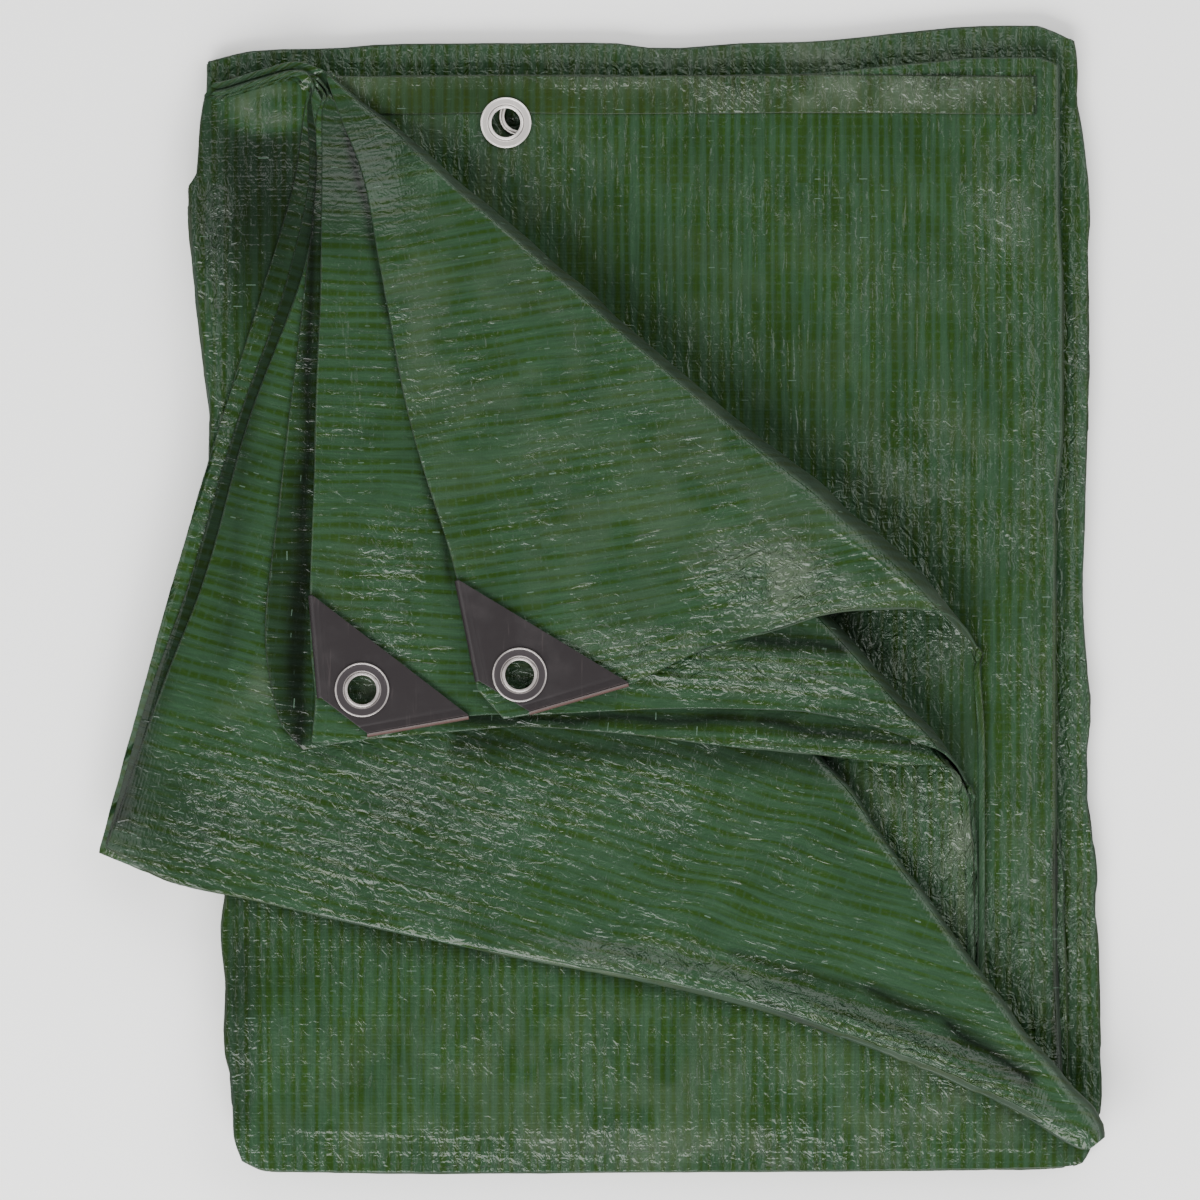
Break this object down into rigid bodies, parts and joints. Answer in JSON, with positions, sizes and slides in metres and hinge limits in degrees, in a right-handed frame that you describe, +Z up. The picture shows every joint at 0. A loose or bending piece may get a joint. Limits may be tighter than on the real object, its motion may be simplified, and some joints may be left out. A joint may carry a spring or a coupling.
{
  "type": "folded tarpaulin of woven polyethylene",
  "caption": "Folded green tarpaulin with one corner of its stack turned over, dark corner pockets and round metal eyelets.",
  "frame": {"origin": "middle of the folded stack's underside, on the surface it lies on", "axes": "+Y along the stack's long side, towards the edge with the eyelet; +X towards the side away from the turned-over corner; +Z up"},
  "size_m": [0.4001, 0.458, 0.0386],
  "materials": {
    "tarp_cloth": "glossy laminated weave, green with a fine two-tone stripe",
    "corner_plastic": "dark brown, slight sheen",
    "eyelet_metal": "pale satin"
  },
  "bodies": {
    "root": {"tarp": "tarp_cloth", "hem_strip": "tarp_cloth", "hem_eyelet": "eyelet_metal", "lower_eyelet": "eyelet_metal", "corner_pocket_right": "corner_plastic", "corner_eyelet_right": "eyelet_metal", "corner_pocket_left": "corner_plastic", "corner_eyelet_left": "eyelet_metal"}
  },
  "joints": []
}
